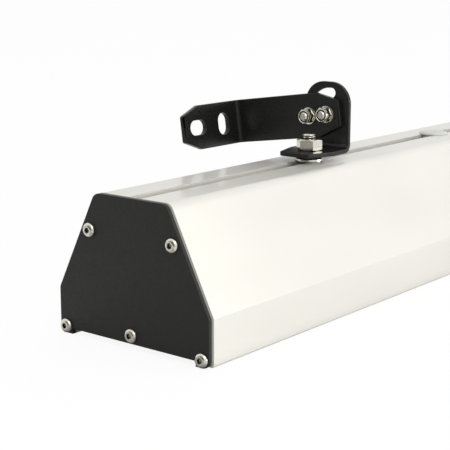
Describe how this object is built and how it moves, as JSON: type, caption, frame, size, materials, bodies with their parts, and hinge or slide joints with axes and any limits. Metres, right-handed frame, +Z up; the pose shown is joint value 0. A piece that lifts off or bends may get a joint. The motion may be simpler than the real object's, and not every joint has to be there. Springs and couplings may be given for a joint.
{
  "type": "linear industrial light",
  "caption": "Linear industrial light: aluminium extruded housing with black end plates, clear lens covers, a T-slot on top and two black brackets that slide, swivel and tilt.",
  "frame": {"origin": "the middle of the light, on the plane of its feet", "axes": "+X along the light towards the end with the cable gland, +Y towards the side that the arms reach to, +Z up, from the lens covers to the T-slot"},
  "size_m": [0.6102, 0.1175, 0.12],
  "materials": {
    "anodised_aluminium": "clear anodised extrusion, satin",
    "black_powder_coat": "matt black powder coat on steel sheet",
    "black_steel": "satin black coated steel strip",
    "stainless_steel": "bright stainless steel",
    "grey_gasket": "matt grey silicone sheet",
    "clear_polycarbonate": "clear extruded polycarbonate",
    "white_board": "white solder mask",
    "led_phosphor": "yellow phosphor in silicone",
    "driver_aluminium": "plain aluminium case",
    "terminal_plastic": "moulded polyamide",
    "black_nylon": "moulded black polyamide",
    "black_rubber": "moulded rubber",
    "grey_plug": "moulded light grey polyethylene"
  },
  "bodies": {
    "light": {"board_screws": "stainless_steel", "driver_case": "driver_aluminium", "driver_cover": "driver_aluminium", "driver_screws": "stainless_steel", "end_gasket_front": "grey_gasket", "end_gasket_rear": "grey_gasket", "end_plate_front": "black_powder_coat", "end_plate_rear": "black_powder_coat", "end_screws_front": "stainless_steel", "end_screws_rear": "stainless_steel", "gland_body": "black_nylon", "gland_cap": "black_nylon", "gland_locknut": "black_nylon", "gland_seal": "black_rubber", "housing_extrusion": "anodised_aluminium", "led_board_left_front": "white_board", "led_board_left_rear": "white_board", "led_board_right_front": "white_board", "led_board_right_rear": "white_board", "led_chips_left": "led_phosphor", "led_chips_right": "led_phosphor", "lens_cover_left": "clear_polycarbonate", "lens_cover_right": "clear_polycarbonate", "slot_plug": "grey_plug", "terminal_block": "terminal_plastic"},
    "carriage_front": {"clamp_bolt_front": "stainless_steel", "lower_washer_front": "stainless_steel", "friction_washer_front": "black_nylon", "upper_washer_front": "stainless_steel", "clamp_nut_front": "stainless_steel"},
    "swivel_front": {"swivel_bracket_front": "black_steel", "pivot_bolt_front": "stainless_steel", "pivot_nut_front": "stainless_steel", "pivot_washers_front": "stainless_steel"},
    "tilt_front": {"arm_front": "black_steel", "lock_bolt_front": "stainless_steel", "lock_nut_front": "stainless_steel", "lock_washers_front": "stainless_steel"},
    "carriage_rear": {"clamp_bolt_rear": "stainless_steel", "lower_washer_rear": "stainless_steel", "friction_washer_rear": "black_nylon", "upper_washer_rear": "stainless_steel", "clamp_nut_rear": "stainless_steel"},
    "swivel_rear": {"swivel_bracket_rear": "black_steel", "pivot_bolt_rear": "stainless_steel", "pivot_nut_rear": "stainless_steel", "pivot_washers_rear": "stainless_steel"},
    "tilt_rear": {"arm_rear": "black_steel", "lock_bolt_rear": "stainless_steel", "lock_nut_rear": "stainless_steel", "lock_washers_rear": "stainless_steel"}
  },
  "joints": [
    {"name": "slide_front", "type": "slide", "parent": "light", "child": "carriage_front", "axis": [1, 0, 0], "range_m": [-0.125, 0.052]},
    {"name": "swivel_front", "type": "hinge", "parent": "carriage_front", "child": "swivel_front", "pos_m": [-0.142, 0, 0.0797], "axis": [0, 0, 1], "continuous": true},
    {"name": "tilt_front", "type": "hinge", "parent": "swivel_front", "child": "tilt_front", "pos_m": [-0.125, -0.002, 0.10139], "axis": [1, 0, 0], "range_deg": [0, 102]},
    {"name": "slide_rear", "type": "slide", "parent": "light", "child": "carriage_rear", "axis": [1, 0, 0], "range_m": [-0.052, 0.125]},
    {"name": "swivel_rear", "type": "hinge", "parent": "carriage_rear", "child": "swivel_rear", "pos_m": [0.142, 0, 0.0797], "axis": [0, 0, 1], "continuous": true},
    {"name": "tilt_rear", "type": "hinge", "parent": "swivel_rear", "child": "tilt_rear", "pos_m": [0.1615, -0.002, 0.10139], "axis": [1, 0, 0], "range_deg": [0, 102]}
  ]
}
